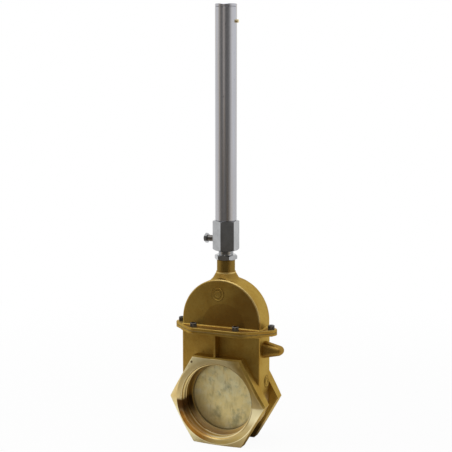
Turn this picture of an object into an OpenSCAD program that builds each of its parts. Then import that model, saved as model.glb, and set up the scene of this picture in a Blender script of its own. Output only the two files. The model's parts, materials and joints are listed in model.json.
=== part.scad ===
// Hydraulic gate valve: a brass knife-gate body with two hexagonal threaded
// ports, a half-round bonnet, and a single-acting cylinder that lifts the gate.
// Origin: centre of the front port's mouth. +Y runs along the flow, +Z is up.

/* [Ports] */
// Distance between the two port faces
face_to_face = 74; // [72:1:90]
// Hexagon of each port, across flats
port_hex_af = 134; // [130:1:144]
// Angle of the turned chamfer on the hexagon's corners
port_chamfer_angle = 15; // [10:1:30]
// How far inside the flats the chamfer starts
port_chamfer_inset = 2; // [1:0.5:4]
// Radius of the threaded wall, at the root of the thread
thread_r = 56.5; // [52:0.1:57]
// Depth of the threaded wall
thread_depth = 17.5; // [13:0.5:18]
// Lead-in chamfer at the port's mouth
mouth_chamfer = 1.5; // [0.5:0.5:2.5]
// Width of the relief groove behind the thread
relief_w = 7; // [2:0.5:7]
// Depth of the relief groove below the thread's root
relief_depth = 1.2; // [0.5:0.1:1.5]

/* [Body] */
// Width of the body and bonnet across the flow
trunk_w = 126; // [122:1:132]
// Thickness of the body along the flow
trunk_t = 42; // [38:1:46]
// Thickness of the bonnet along the flow
bonnet_t = 39; // [37:1:42]
// Wall of the body and bonnet castings
wall = 5; // [4:0.5:6]
// Radius of the castings' outer edges
edge_r = 2.5; // [1:0.5:3.5]
// Size of the fillets where cast forms meet
cast_fillet = 2.5; // [1:0.5:2.5]
// Height of the parting plane above the bore's axis
parting_z = 104.6; // [100:0.2:110]
// Thickness of the stiffening rib above each port
rib_t = 3; // [2.5:0.5:8]
// How far the ribs' outer edges lie behind the port faces
rib_setback = 0.6; // [0.6:0.2:8]
// How far the ribs stand off the bore's centre, the front one to the left
rib_shift = 3; // [0:0.5:6]
// Height of the side lug where it leaves the body
lug_root_h = 24; // [20:1:30]
// Height of the side lug at its round end
lug_tip_h = 14; // [10:1:18]
// Thickness of the side lug
lug_t = 20; // [18:1:24]
// Reach of the side lug from the body
lug_reach = 29; // [20:1:40]
// Height of the side lug's centre above the bore's axis
lug_z = 78; // [70:1:84]
// Radius of the side lug's edges
lug_edge_r = 6; // [3:0.5:6]

/* [Flanges] */
// How far the flanges reach past the body's sides
flange_ear = 18.5; // [17.5:0.5:24]
// How far the flanges reach past the body's front and rear
flange_lip = 19; // [18:0.5:24]
// Length of the flanges' straight front and rear edges
flange_straight = 70; // [60:1:90]
// Radius of the flanges' tips
flange_tip_r = 12; // [8:1:15]
// Radius of the flanges' other corners
flange_corner_r = 20; // [4:1:24]
// Thickness of the body's flange
body_flange_t = 3.6; // [3:0.2:7]
// Thickness of the bonnet's flange
bonnet_flange_t = 4.4; // [3:0.2:7]
// Thickness of the gasket between the flanges
gasket_t = 0.8; // [0.5:0.1:2]

/* [Screws] */
// Diameter of the cap screws' shanks
screw_d = 6; // [5:0.5:6]
// Diameter of the cap screws' heads
screw_head_d = 10; // [9:0.5:11]
// Height of the cap screws' heads
screw_head_h = 6; // [5:0.5:7]
// Width across flats of the screws' sockets
screw_socket_af = 5; // [4:0.5:5]
// Bevel round the top of the cap screws' heads
screw_bevel = 0.6; // [0.2:0.1:1]
// Depth of the screws' sockets
screw_socket_depth = 3; // [2:0.5:4]
// How far the screws stand out below the body's flange
screw_proud = 2.2; // [1:0.2:5]
// Distance of the side screws from the valve's centre plane, across the flow
side_screw_x = 34; // [28:0.5:38]
// Shift of the side screws along the flange, the front ones to the left
side_screw_shift = 6; // [0:0.5:6]
// Distance of the side screws' axes from the body's front and rear
side_screw_out = 9; // [9:0.5:11]
// Distance of the end screws' axes from the body's sides
end_screw_out = 10; // [8:0.5:10]
// Radial room of a screw in its holes
screw_room = 0.2; // [0.1:0.1:0.4]

/* [Gate] */
// Thickness of the gate
gate_t = 10; // [8:1:12]
// Straight height between the gate's two half-rounds
gate_straight = 6; // [2:1:12]
// Room between the gate's faces and its slot
face_room = 0.5; // [0.3:0.1:0.8]
// Room between the gate's edges and the castings
edge_room = 1; // [0.5:0.1:2]
// Lift of the gate from closed to open
gate_travel = 108; // [90:1:112]
// Room above the gate when it is open
top_room = 6; // [5:1:12]
// Radius of the opening behind each port
seat_r = 51; // [45:0.5:52]
// Inner radius of the seat seals
seal_r = 50.5; // [44:0.5:51]
// Radial width of the seat seals
seal_w = 5; // [3:0.5:6]
// Thickness of the seat seals
seal_t = 3.7; // [2:0.1:4]
// Room between a seat seal and the gate
seal_room = 0.2; // [0.1:0.1:0.3]

/* [Neck] */
// Diameter of the bonnet's neck
neck_d = 27; // [26:0.5:32]
// Height of the bonnet's neck above its boss
neck_h = 18; // [18:1:26]
// Height of the tapered boss above the bonnet's crown
boss_h = 10; // [6:1:16]
// Height of the boss's plain rim, where it carries the neck
boss_rim_h = 1.5; // [0.5:0.5:3]
// Chamfer at the top of the neck
neck_chamfer = 1; // [0.5:0.5:2]
// Diameter of the boss at its top
boss_top_d = 29.5; // [29:0.5:34]
// Diameter of the boss at its foot
boss_foot_d = 39; // [36:1:41]

/* [Cylinder head] */
// Diameter of the threaded spigot that screws into the neck
spigot_d = 21.5; // [20:0.5:22]
// Depth of the spigot in the neck
spigot_depth = 11; // [8:1:12]
// Length of spigot that shows between lock nut and head
spigot_bare = 7; // [4:0.5:12]
// Lock nut across flats
lock_nut_af = 30; // [28:0.5:36]
// Thickness of the lock nut
lock_nut_t = 7; // [4:0.5:8]
// Slope of the chamfers on the lock nut's corners
lock_nut_angle = 30; // [15:1:45]
// Angle at which the lock nut stopped
lock_nut_turn = 9; // [0:1:30]
// Head across flats
head_af = 34.5; // [34:0.5:42]
// Height of the head's hexagon
head_h = 44.5; // [40:0.5:56]
// Angle at which the head stopped
head_turn = -1; // [-10:1:10]
// Slope of the turned cone below the head's hexagon
head_cone_angle = 32; // [15:1:45]
// Height of the turned chamfer above the head's hexagon
head_chamfer = 1; // [0.5:0.5:3]
// Height of the plug that the tube screws onto
tube_plug_h = 14; // [10:1:20]

/* [Cylinder] */
// Outside diameter of the tube
tube_d = 32; // [31:0.5:34]
// Wall of the tube
tube_wall = 2.5; // [2:0.5:3]
// Length of the tube
tube_l = 312; // [300:2:400]
// Thickness of the end cap's visible rim
cap_t = 4; // [3:0.5:8]
// Bevel round the end cap
cap_bevel = 0.8; // [0.2:0.1:1.5]
// Depth of the end cap's plug in the tube
cap_plug_h = 12; // [8:1:16]
// Diameter of the brass breather
breather_d = 5; // [4:0.5:6]
// How far the breather stands out of the tube
breather_proud = 3.5; // [2:0.5:5]
// Distance of the breather below the tube's top
breather_drop = 21; // [18:1:40]

/* [Rod and piston] */
// Diameter of the piston rod
rod_d = 14; // [12:0.5:16]
// Diameter of the rod's threaded end in the gate
rod_end_d = 7; // [5:0.5:8]
// Depth of the rod's threaded end in the gate
rod_end_depth = 12; // [8:1:16]
// Running room round the rod
rod_room = 0.06; // [0.02:0.01:0.1]
// Height of the rod packing
packing_h = 5; // [3:1:8]
// Height of the piston
piston_h = 22; // [16:1:30]
// Running room round the piston
piston_room = 0.15; // [0.1:0.01:0.2]
// Height of the piston's seal
piston_seal_h = 5; // [3:1:6]
// Depth of the piston's seal groove
piston_seal_depth = 3; // [2:0.5:4]
// Height of the nut that holds the piston
piston_nut_h = 7; // [5:1:9]
// Piston nut across flats
piston_nut_af = 17; // [13:1:19]
// Diameter of the rod's threaded end in the piston
rod_top_d = 10; // [8:0.5:11]
// Room for oil round the rod, between the port and the piston
oil_room = 1.5; // [1:0.5:3]
// Room between the piston and the head's plug when the gate is closed
piston_rest_room = 5; // [5:1:10]

/* [Hydraulic port] */
// Height of the port above the head's lower face
port_z = 16; // [12:1:28]
// Diameter of the adapter's threaded stub
adapter_d = 9.5; // [8:0.5:12]
// Length of the stub that shows
adapter_l = 12; // [4:0.5:14]
// Depth of the stub in the head
adapter_depth = 8; // [6:1:9]
// Hexagon of the nipple, across flats
nipple_hex_af = 13; // [12:0.5:17]
// Thickness of the nipple's hexagon
nipple_hex_t = 4; // [3:0.5:8]
// Diameter of the nipple's end
nipple_d = 10; // [9:0.5:12]
// Length of the nipple's end
nipple_l = 1.5; // [1:0.5:12]
// Diameter of the oil passage
oil_d = 4; // [3:0.5:5]

/* [Fits] */
// Gap between two pieces that touch on the real valve
seat_gap = 0.02; // [0.01:0.01:0.05]

/* [Hidden] */
$fn = 64;
eps = 0.5;
mid_y = face_to_face / 2;
port_hex_r = port_hex_af / 2 / cos(30);
port_hex_l = mid_y - trunk_t / 2 + edge_r;
chamfer_r = port_hex_af / 2 - port_chamfer_inset;
shoulder_y = thread_depth + relief_w;
relief_r = thread_r + relief_depth;
cavity_r = trunk_w / 2 - wall;
cavity_t = trunk_t - 2 * wall;
bonnet_cavity_t = bonnet_t - 2 * wall;
cavity_floor_z = relief_r + wall;
slot_t = gate_t + 2 * face_room;
gate_r = cavity_r - edge_room;
gate_top_z = gate_straight + gate_r;
seal_recess = seal_t + seal_room - face_room;
arch_z = gate_top_z + gate_travel + top_room - cavity_r;
flange_l = trunk_w + 2 * flange_ear;
flange_w = trunk_t + 2 * flange_lip;
side_screw_y = trunk_t / 2 + side_screw_out;
end_screw_x = trunk_w / 2 + end_screw_out;
bonnet_z = parting_z + gasket_t;
screw_seat_z = bonnet_z + bonnet_flange_t;
screw_l = screw_seat_z - parting_z + body_flange_t + screw_proud;
crown_z = arch_z + trunk_w / 2;
boss_z = crown_z + boss_h;
neck_z = boss_z + neck_h;
neck_bore_z = neck_z - spigot_depth - packing_h;
lock_nut_z = neck_z;
head_z = lock_nut_z + lock_nut_t + spigot_bare;
head_top_z = head_z + head_h;
tube_bore_r = tube_d / 2 - tube_wall;
tube_top_z = head_top_z + tube_l;
rod_hole_r = rod_d / 2 + rod_room;
oil_z = head_z + port_z;
piston_z = head_top_z + tube_plug_h + piston_rest_room;
piston_top_z = piston_z + piston_h;
piston_r = tube_bore_r - piston_room;
side_screws = [
    for (x = [-1, 1], y = [-1, 1]) [x * side_screw_x + y * side_screw_shift, y * side_screw_y]
];
end_screws = [for (x = [-1, 1]) [x * end_screw_x, 0]];
screw_places = concat(side_screws, end_screws);

// Puts a piece in the gate plane, halfway between the ports
module at_gate() {
    translate([0, mid_y, 0]) children();
}

// Upright outline extruded along the flow, centred on the gate plane
module along_flow(t) {
    rotate([90, 0, 0]) linear_extrude(t, center = true) children();
}

// Flat-sided outline with a half-round below
module tongue(r, top) {
    circle(r);
    translate([-r, 0]) square([2 * r, top]);
}

// Flat-sided outline with half-rounds below and above
module slot_outline(r, rise) {
    tongue(r, rise);
    translate([0, rise]) circle(r);
}

// Plan of both flanges: a long hexagon with round corners
module flange_plan() {
    tip_x = flange_l / 2 - flange_tip_r;
    corner_x = flange_straight / 2;
    corner_y = flange_w / 2 - flange_corner_r;
    hull() {
        for (x = [-1, 1]) {
            translate([x * tip_x, 0]) circle(flange_tip_r, $fn = 32);
            for (y = [-1, 1])
                translate([x * corner_x, y * corner_y]) circle(flange_corner_r, $fn = 32);
        }
    }
}

// Clearance holes for the cap screws
module screw_holes(z, h) {
    for (p = screw_places)
        translate([p[0], p[1], z - eps]) cylinder(h = h + 2 * eps, d = screw_d + 2 * screw_room);
}

// Plan of the trunk or the bonnet, t thick, with round edges
module trunk_plan(t) {
    edge_x = trunk_w / 2 - edge_r;
    edge_y = t / 2 - edge_r;
    square([trunk_w, 2 * edge_y], center = true);
    square([2 * edge_x, t], center = true);
    for (x = [-1, 1], y = [-1, 1]) translate([x * edge_x, y * edge_y]) circle(edge_r);
}

// Round end of the trunk or the bonnet, t thick, turned about the flow's direction
module trunk_round(t) {
    rotate([90, 0, 0]) rotate_extrude() intersection() {
        trunk_plan(t);
        translate([0, -t]) square([trunk_w, 2 * t]);
    }
}

// Section of a fillet between an upright wall and a floor
module fillet_section() {
    difference() {
        translate([-eps, -eps]) square(cast_fillet + eps);
        translate([cast_fillet, cast_fillet]) circle(cast_fillet);
    }
}

// Fillet all round the foot of the trunk's or the bonnet's plan, t thick
module trunk_fillet(t) {
    edge_x = trunk_w / 2 - edge_r;
    edge_y = t / 2 - edge_r;
    for (a = [0, 180]) {
        rotate([90, 0, a]) translate([trunk_w / 2, 0, 0])
            linear_extrude(2 * edge_y, center = true) fillet_section();
        rotate([90, 0, a + 90]) translate([t / 2, 0, 0])
            linear_extrude(2 * edge_x, center = true) fillet_section();
    }
    for (x = [-1, 1], y = [-1, 1]) translate([x * edge_x, y * edge_y, 0])
        rotate_extrude() translate([edge_r, 0]) fillet_section();
}

// Hexagon of one port, from the port face into the trunk
module port_hexagon() {
    rise = (port_hex_r - chamfer_r) * tan(port_chamfer_angle);
    rotate([-90, 0, 0]) intersection() {
        cylinder(h = port_hex_l, r = port_hex_r, $fn = 6);
        rotate_extrude() polygon([
            [0, 0], [chamfer_r, 0], [port_hex_r, rise], [port_hex_r, port_hex_l], [0, port_hex_l]
        ]);
    }
}

// Everything turned out of one port, from its mouth to the slot
module port_bore() {
    seal_y = mid_y - slot_t / 2 - seal_recess;
    rotate([-90, 0, 0]) rotate_extrude() polygon([
        [0, -eps],
        [thread_r + mouth_chamfer + eps, -eps],
        [thread_r, mouth_chamfer],
        [thread_r, thread_depth],
        [relief_r, thread_depth],
        [relief_r, shoulder_y],
        [seat_r, shoulder_y],
        [seat_r, seal_y],
        [seal_r + seal_w, seal_y],
        [seal_r + seal_w, mid_y],
        [0, mid_y]
    ]);
}

// The same thing at the front port and, turned round, at the rear port
module at_both_ports() {
    children();
    translate([0, face_to_face, 0]) mirror([0, 1, 0]) children();
}

// Stiffening ribs between the port hexagons and the body's flange
module body_ribs() {
    reach = mid_y - rib_setback;
    foot = port_hex_af / 2 - wall;
    at_gate() for (a = [0, 180]) rotate([0, 0, a])
        translate([-rib_shift - rib_t / 2, -reach, foot])
            cube([rib_t, reach, parting_z - body_flange_t / 2 - foot]);
}

// Tapered lug on the body's right side, with round edges and a round end
module side_lug() {
    tip_r = lug_tip_h / 2;
    root_y = lug_t / 2 - lug_edge_r;
    root_z = lug_root_h / 2 - lug_edge_r;
    at_gate() translate([trunk_w / 2 - wall / 2, 0, lug_z]) hull() {
        for (y = [-root_y, root_y], z = [-root_z, root_z])
            translate([0, y, z]) rotate([0, 90, 0]) cylinder(h = wall / 2, r = lug_edge_r, $fn = 32);
        for (y = [-1, 1]) translate([wall / 2 + lug_reach - tip_r, y * (lug_t / 2 - tip_r), 0])
            sphere(tip_r, $fn = 32);
    }
}

module body_casting() {
    color([0.66, 0.52, 0.27]) difference() {
        union() {
            at_both_ports() port_hexagon();
            at_gate() trunk_round(trunk_t);
            at_gate() linear_extrude(parting_z) trunk_plan(trunk_t);
            at_gate() translate([0, 0, parting_z - body_flange_t]) {
                linear_extrude(body_flange_t) flange_plan();
                mirror([0, 0, 1]) trunk_fillet(trunk_t);
            }
            body_ribs();
            side_lug();
        }
        at_both_ports() port_bore();
        at_gate() along_flow(slot_t) tongue(cavity_r, parting_z + eps);
        at_gate() translate([-cavity_r, -cavity_t / 2, cavity_floor_z])
            cube([2 * cavity_r, cavity_t, parting_z + eps - cavity_floor_z]);
        at_gate() screw_holes(parting_z - body_flange_t, body_flange_t);
    }
}

// Ring pressed into the recess between one port and the slot
module seat_seal() {
    rotate([-90, 0, 0]) translate([0, 0, mid_y - slot_t / 2 - seal_recess + seat_gap])
        rotate_extrude() translate([seal_r, 0]) square([seal_w - seat_gap, seal_t - seat_gap]);
}

module seat_seal_front() {
    color([0.30, 0.29, 0.25]) seat_seal();
}

module seat_seal_rear() {
    color([0.30, 0.29, 0.25]) translate([0, face_to_face, 0]) mirror([0, 1, 0]) seat_seal();
}

module flange_gasket() {
    color([0.20, 0.17, 0.12]) at_gate() difference() {
        translate([0, 0, parting_z + seat_gap])
            linear_extrude(gasket_t - 2 * seat_gap) flange_plan();
        translate([-cavity_r, -cavity_t / 2, parting_z - eps])
            cube([2 * cavity_r, cavity_t, gasket_t + 2 * eps]);
        screw_holes(parting_z, gasket_t);
    }
}

// Turned boss and neck on the bonnet's crown
module bonnet_neck() {
    foot_r = boss_foot_d / 2;
    rim_r = boss_top_d / 2;
    rim_z = boss_z - boss_rim_h;
    rotate_extrude() polygon([
        [0, arch_z], [foot_r + wall, arch_z], [foot_r + wall, crown_z - wall], [foot_r, crown_z],
        [rim_r, rim_z], [rim_r, boss_z], [neck_d / 2, boss_z], [neck_d / 2, neck_z - neck_chamfer],
        [neck_d / 2 - neck_chamfer, neck_z], [0, neck_z]
    ]);
}

module bonnet_casting() {
    color([0.66, 0.52, 0.27]) at_gate() difference() {
        union() {
            translate([0, 0, bonnet_z]) linear_extrude(bonnet_flange_t) flange_plan();
            translate([0, 0, screw_seat_z]) trunk_fillet(bonnet_t);
            translate([0, 0, bonnet_z]) linear_extrude(arch_z - bonnet_z) trunk_plan(bonnet_t);
            intersection() {
                translate([0, 0, arch_z]) trunk_round(bonnet_t);
                translate([-trunk_w, -bonnet_t, screw_seat_z]) cube([2 * trunk_w, 2 * bonnet_t, neck_z]);
            }
            intersection() {
                bonnet_neck();
                translate([-trunk_w, -(bonnet_t - edge_r) / 2, arch_z])
                    cube([2 * trunk_w, bonnet_t - edge_r, neck_z]);
            }
        }
        along_flow(bonnet_cavity_t) translate([0, arch_z]) circle(cavity_r);
        translate([-cavity_r, -bonnet_cavity_t / 2, bonnet_z - eps])
            cube([2 * cavity_r, bonnet_cavity_t, arch_z - bonnet_z + eps]);
        translate([0, 0, neck_bore_z]) cylinder(h = neck_z - neck_bore_z + eps, d = spigot_d);
        translate([0, 0, arch_z]) cylinder(h = neck_bore_z - arch_z + eps, r = rod_hole_r);
        screw_holes(bonnet_z, bonnet_flange_t);
    }
}

// Socket-head cap screw, with its head's underside at the flange's top
module cap_screw(place) {
    head_r = screw_head_d / 2;
    shank_r = screw_d / 2;
    color([0.16, 0.16, 0.17]) at_gate() translate([place[0], place[1], screw_seat_z + seat_gap])
        difference() {
            rotate_extrude() polygon([
                [0, -screw_l], [shank_r - screw_bevel, -screw_l], [shank_r, screw_bevel - screw_l],
                [shank_r, 0], [head_r, 0], [head_r, screw_head_h - screw_bevel],
                [head_r - screw_bevel, screw_head_h], [0, screw_head_h]
            ]);
            translate([0, 0, screw_head_h - screw_socket_depth])
                cylinder(h = screw_socket_depth + eps, d = screw_socket_af / cos(30), $fn = 6);
        }
}

module rod_packing() {
    color([0.85, 0.84, 0.80]) at_gate() translate([0, 0, neck_bore_z + seat_gap]) difference() {
        cylinder(h = packing_h - 2 * seat_gap, r = spigot_d / 2 - seat_gap);
        translate([0, 0, -eps]) cylinder(h = packing_h + 2 * eps, r = rod_hole_r);
    }
}

// Hexagon whose corners are turned to a slope below and above
module turned_hexagon(af, h, rise_below, rise_above) {
    corner_r = af / 2 / cos(30);
    intersection() {
        cylinder(h = h, r = corner_r, $fn = 6);
        rotate_extrude() polygon([
            [0, 0], [af / 2, 0], [corner_r, rise_below], [corner_r, h - rise_above], [af / 2, h], [0, h]
        ]);
    }
}

module lock_nut() {
    rise = lock_nut_af / 2 * (1 / cos(30) - 1) * tan(lock_nut_angle);
    color([0.75, 0.76, 0.77]) at_gate() translate([0, 0, lock_nut_z + seat_gap])
        rotate([0, 0, lock_nut_turn]) difference() {
            turned_hexagon(lock_nut_af, lock_nut_t, rise, rise);
            translate([0, 0, -eps]) cylinder(h = lock_nut_t + 2 * eps, r = spigot_d / 2 + seat_gap);
        }
}

module cylinder_head() {
    spigot_z = neck_z - spigot_depth + seat_gap;
    plug_top_z = head_top_z + tube_plug_h;
    rise = head_af / 2 * (1 / cos(30) - 1) * tan(head_cone_angle);
    color([0.75, 0.76, 0.77]) at_gate() difference() {
        union() {
            translate([0, 0, head_z]) rotate([0, 0, 30 + head_turn])
                turned_hexagon(head_af, head_h, rise, head_chamfer);
            translate([0, 0, spigot_z])
                cylinder(h = head_z - spigot_z + eps, d = spigot_d - 2 * seat_gap);
            translate([0, 0, head_top_z - eps])
                cylinder(h = tube_plug_h + eps, r = tube_bore_r - seat_gap);
        }
        translate([0, 0, spigot_z - eps]) cylinder(h = plug_top_z - spigot_z + 2 * eps, r = rod_hole_r);
        translate([0, 0, oil_z - oil_d / 2])
            cylinder(h = plug_top_z - oil_z + oil_d / 2 + eps, r = rod_hole_r + oil_room);
        translate([0, 0, oil_z]) rotate([0, 0, head_turn]) rotate([0, -90, 0]) {
            cylinder(h = head_af, d = oil_d);
            translate([0, 0, head_af / 2 - adapter_depth]) cylinder(h = head_af, d = adapter_d);
        }
    }
}

module cylinder_tube() {
    color([0.78, 0.78, 0.79]) at_gate() difference() {
        translate([0, 0, head_top_z + seat_gap]) cylinder(h = tube_l, d = tube_d);
        translate([0, 0, head_top_z - eps]) cylinder(h = tube_l + 2 * eps, r = tube_bore_r);
        translate([0, 0, tube_top_z - breather_drop]) rotate([0, 90, 0])
            cylinder(h = tube_d, d = breather_d);
    }
}

module end_cap() {
    rim_r = tube_d / 2;
    plug_r = tube_bore_r - seat_gap;
    color([0.75, 0.76, 0.77]) at_gate() translate([0, 0, tube_top_z + 2 * seat_gap])
        rotate_extrude() polygon([
            [0, -cap_plug_h], [plug_r - cap_bevel, -cap_plug_h], [plug_r, cap_bevel - cap_plug_h],
            [plug_r, 0], [rim_r, 0], [rim_r, cap_t - cap_bevel], [rim_r - cap_bevel, cap_t], [0, cap_t]
        ]);
}

module breather_plug() {
    color([0.72, 0.58, 0.30]) at_gate() translate([tube_bore_r, 0, tube_top_z - breather_drop])
        rotate([0, 90, 0]) cylinder(h = tube_wall + breather_proud, d = breather_d - 2 * seat_gap);
}

// Threaded stub that carries the nipple
module hydraulic_adapter() {
    stub_l = adapter_depth + adapter_l;
    color([0.30, 0.30, 0.31]) at_gate() translate([0, 0, oil_z]) rotate([0, 0, head_turn])
        rotate([0, -90, 0]) translate([0, 0, head_af / 2 - adapter_depth + seat_gap]) difference() {
            cylinder(h = stub_l - seat_gap, d = adapter_d - 2 * seat_gap);
            translate([0, 0, -eps]) cylinder(h = stub_l + 2 * eps, d = oil_d);
        }
}

module hydraulic_nipple() {
    color([0.72, 0.72, 0.74]) at_gate() translate([0, 0, oil_z]) rotate([0, 0, head_turn])
        rotate([0, -90, 0]) translate([0, 0, head_af / 2 + adapter_l + seat_gap]) difference() {
            union() {
                cylinder(h = nipple_hex_t, d = nipple_hex_af / cos(30), $fn = 6);
                cylinder(h = nipple_hex_t + nipple_l, d = nipple_d);
            }
            translate([0, 0, -eps]) cylinder(h = nipple_hex_t + nipple_l + 2 * eps, d = oil_d);
        }
}

module gate_blade() {
    color([0.72, 0.66, 0.45]) at_gate() difference() {
        along_flow(gate_t) slot_outline(gate_r, gate_straight);
        translate([0, 0, gate_top_z - rod_end_depth])
            cylinder(h = rod_end_depth + eps, d = rod_end_d);
    }
}

module gate_rod() {
    rod_z = gate_top_z + seat_gap;
    color([0.80, 0.80, 0.82]) at_gate() {
        translate([0, 0, rod_z]) cylinder(h = piston_z - rod_z, d = rod_d);
        translate([0, 0, rod_z - rod_end_depth])
            cylinder(h = rod_end_depth + eps, d = rod_end_d - 2 * seat_gap);
        translate([0, 0, piston_z - eps])
            cylinder(h = piston_h + piston_nut_h + eps, d = rod_top_d);
    }
}

module piston() {
    groove_z = piston_h / 2 - piston_seal_h / 2;
    color([0.72, 0.58, 0.30]) at_gate() translate([0, 0, piston_z + seat_gap]) difference() {
        cylinder(h = piston_h - seat_gap, r = piston_r);
        translate([0, 0, -eps]) cylinder(h = piston_h + 2 * eps, r = rod_top_d / 2 + seat_gap);
        translate([0, 0, groove_z]) difference() {
            cylinder(h = piston_seal_h, r = piston_r + eps);
            translate([0, 0, -eps])
                cylinder(h = piston_seal_h + 2 * eps, r = piston_r - piston_seal_depth);
        }
    }
}

module piston_seal() {
    groove_z = piston_z + piston_h / 2 - piston_seal_h / 2 + 2 * seat_gap;
    color([0.12, 0.12, 0.12]) at_gate() translate([0, 0, groove_z]) difference() {
        cylinder(h = piston_seal_h - 2 * seat_gap, r = piston_r);
        translate([0, 0, -eps])
            cylinder(h = piston_seal_h + eps, r = piston_r - piston_seal_depth + seat_gap);
    }
}

module piston_nut() {
    color([0.75, 0.76, 0.77]) at_gate() translate([0, 0, piston_top_z + 2 * seat_gap]) difference() {
        cylinder(h = piston_nut_h - 2 * seat_gap, d = piston_nut_af / cos(30), $fn = 6);
        translate([0, 0, -eps]) cylinder(h = piston_nut_h + eps, r = rod_top_d / 2 + seat_gap);
    }
}

body_casting();
seat_seal_front();
seat_seal_rear();
flange_gasket();
bonnet_casting();
cap_screw(screw_places[0]);  // screw_front_left
cap_screw(screw_places[2]);  // screw_front_right
cap_screw(screw_places[1]);  // screw_rear_left
cap_screw(screw_places[3]);  // screw_rear_right
cap_screw(screw_places[4]);  // screw_left_end
cap_screw(screw_places[5]);  // screw_right_end
rod_packing();
lock_nut();
cylinder_head();
cylinder_tube();
end_cap();
breather_plug();
hydraulic_adapter();
hydraulic_nipple();
gate_blade();
gate_rod();
piston();
piston_seal();
piston_nut();
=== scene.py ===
"""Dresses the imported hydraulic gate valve: soft casting edges, threads, finishes, light and camera."""

import json
import logging
import math
from dataclasses import dataclass, field
from enum import Enum
from typing import Union

import bmesh
import bpy
from mathutils import Matrix, Vector


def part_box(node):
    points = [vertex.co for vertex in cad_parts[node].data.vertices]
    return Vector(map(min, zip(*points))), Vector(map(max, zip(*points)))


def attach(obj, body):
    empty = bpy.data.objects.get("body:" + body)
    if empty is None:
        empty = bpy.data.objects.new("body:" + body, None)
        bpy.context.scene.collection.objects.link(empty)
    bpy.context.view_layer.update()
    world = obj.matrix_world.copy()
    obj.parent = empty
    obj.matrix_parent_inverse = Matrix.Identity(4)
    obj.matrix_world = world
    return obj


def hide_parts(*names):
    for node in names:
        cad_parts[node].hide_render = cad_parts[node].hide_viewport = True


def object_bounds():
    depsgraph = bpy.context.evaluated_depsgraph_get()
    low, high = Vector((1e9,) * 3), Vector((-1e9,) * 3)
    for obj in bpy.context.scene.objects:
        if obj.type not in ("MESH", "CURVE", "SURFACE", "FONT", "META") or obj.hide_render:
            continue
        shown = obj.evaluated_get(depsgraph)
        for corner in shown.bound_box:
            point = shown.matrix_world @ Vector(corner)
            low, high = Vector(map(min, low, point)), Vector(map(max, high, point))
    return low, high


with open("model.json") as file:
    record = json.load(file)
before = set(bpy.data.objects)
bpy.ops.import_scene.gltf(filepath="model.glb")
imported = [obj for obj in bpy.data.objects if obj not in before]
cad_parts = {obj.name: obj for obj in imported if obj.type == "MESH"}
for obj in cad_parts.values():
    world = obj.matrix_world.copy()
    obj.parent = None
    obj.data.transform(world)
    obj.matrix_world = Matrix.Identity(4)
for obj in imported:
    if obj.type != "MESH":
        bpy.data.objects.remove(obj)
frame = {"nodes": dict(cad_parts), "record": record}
CAD_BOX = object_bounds()
MM = 0.001
UP = Vector((0.0, 0.0, 1.0))
ALONG_FLOW = Vector((0.0, 1.0, 0.0))
ACROSS = Vector((1.0, 0.0, 0.0))
log = logging.getLogger("valve")


class Body(Enum):
    """Rigid bodies that pieces ride on."""

    VALVE = "valve"
    GATE = "gate"


class Slot(Enum):
    """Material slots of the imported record."""

    CAST_BRASS = "cast_brass"
    GATE_BRASS = "gate_brass"
    TURNED_BRASS = "turned_brass"
    ZINC_STEEL = "zinc_steel"
    TUBE_STEEL = "tube_steel"
    ROD_STEEL = "rod_steel"
    BLACK_STEEL = "black_steel"
    SEAL_RUBBER = "seal_rubber"
    GASKET_FIBRE = "gasket_fibre"
    PACKING_PLASTIC = "packing_plastic"


# ---------------------------------------------------------------- shader maths


class Value:
    """A number that varies over a surface: the output of one shader node."""

    def __init__(self, shader: "Shader", socket: bpy.types.NodeSocket) -> None:
        """Wraps a socket.

        Args:
            shader: The shader that owns the socket's node.
            socket: The output socket that carries the number.
        """
        self.shader = shader
        self.socket = socket

    def __add__(self, other: "Number") -> "Value":
        """Adds a number."""
        return self.shader.math("ADD", self, other)

    def __radd__(self, other: "Number") -> "Value":
        """Adds this to a number."""
        return self.shader.math("ADD", other, self)

    def __sub__(self, other: "Number") -> "Value":
        """Takes a number away."""
        return self.shader.math("SUBTRACT", self, other)

    def __rsub__(self, other: "Number") -> "Value":
        """Takes this away from a number."""
        return self.shader.math("SUBTRACT", other, self)

    def __mul__(self, other: "Number") -> "Value":
        """Multiplies by a number."""
        return self.shader.math("MULTIPLY", self, other)

    def __truediv__(self, other: "Number") -> "Value":
        """Divides by a number."""
        return self.shader.math("DIVIDE", self, other)

    def __abs__(self) -> "Value":
        """Drops the sign."""
        return self.shader.math("ABSOLUTE", self)

    def sine(self) -> "Value":
        """Takes the sine."""
        return self.shader.math("SINE", self)

    def root(self) -> "Value":
        """Takes the square root."""
        return self.shader.math("SQRT", self)

    def larger(self, other: "Number") -> "Value":
        """Takes the larger of this and a number."""
        return self.shader.math("MAXIMUM", self, other)

    def between(self, low: float, high: float) -> "Value":
        """Rises smoothly from 0 to 1.

        Args:
            low: The value at and below which the result is 0.
            high: The value at and above which the result is 1.

        Returns:
            The smooth step.
        """
        made = self.shader.node(
            "ShaderNodeMapRange",
            {"interpolation_type": "SMOOTHSTEP"},
            {"Value": self, "From Min": low, "From Max": high},
        )
        return Value(self.shader, made.outputs[0])


Number = Union[Value, float]
Colour = tuple[float, float, float]
Tint = Union[Colour, bpy.types.NodeSocket]
Levels = tuple[tuple[float, float], ...]


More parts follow.
